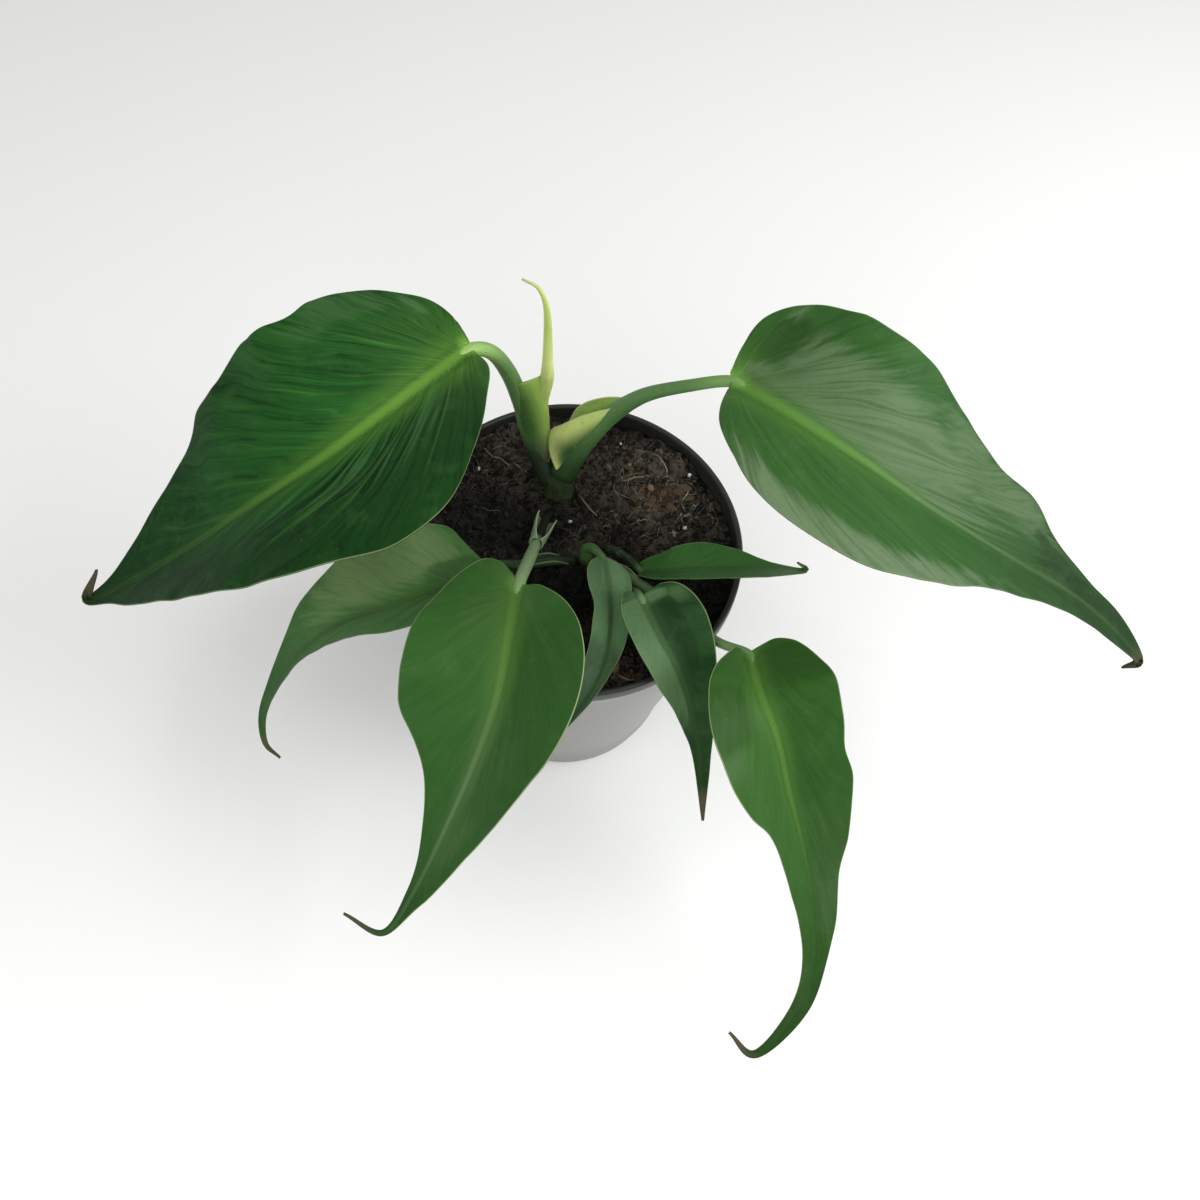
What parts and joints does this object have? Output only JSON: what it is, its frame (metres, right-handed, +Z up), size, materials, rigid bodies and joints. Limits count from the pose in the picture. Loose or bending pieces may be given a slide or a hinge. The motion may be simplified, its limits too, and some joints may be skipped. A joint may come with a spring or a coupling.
{
  "type": "potted climbing philodendron",
  "caption": "Young climbing aroid in a round nursery pot, with long flame-shaped leaves on arching stalks; a house plant that stands on a table or shelf.",
  "frame": {"origin": "centre of the pot's underside, on the surface it stands on", "axes": "+Z up along the pot's axis; +X to the right of the viewer, where the longest leaves reach; -Y towards the viewer"},
  "size_m": [0.3574, 0.2112, 0.2003],
  "materials": {
    "pot_plastic": "satin black inside and lip, pale grey outer wall",
    "potting_soil": "matte peat, coir and bark mix, crumbly",
    "stem": "satin green-brown stem",
    "leaf_dark": "satin deep green leaf with yellow-green midrib",
    "leaf_middle": "satin green leaf with yellow-green midrib",
    "leaf_fresh": "satin fresh green leaf with pale midrib",
    "new_growth": "smooth pale yellow-green"
  },
  "bodies": {
    "root": {"pot": "pot_plastic", "soil": "potting_soil", "main_stem": "stem", "second_stem": "stem", "leaf_back_left": "leaf_dark", "leaf_right": "leaf_middle", "leaf_front": "leaf_middle", "leaf_left": "leaf_middle", "leaf_centre_small": "leaf_fresh", "leaf_middle_right": "leaf_fresh", "leaf_front_right": "leaf_fresh", "leaf_right_small": "leaf_fresh", "new_leaf": "new_growth"}
  },
  "joints": []
}
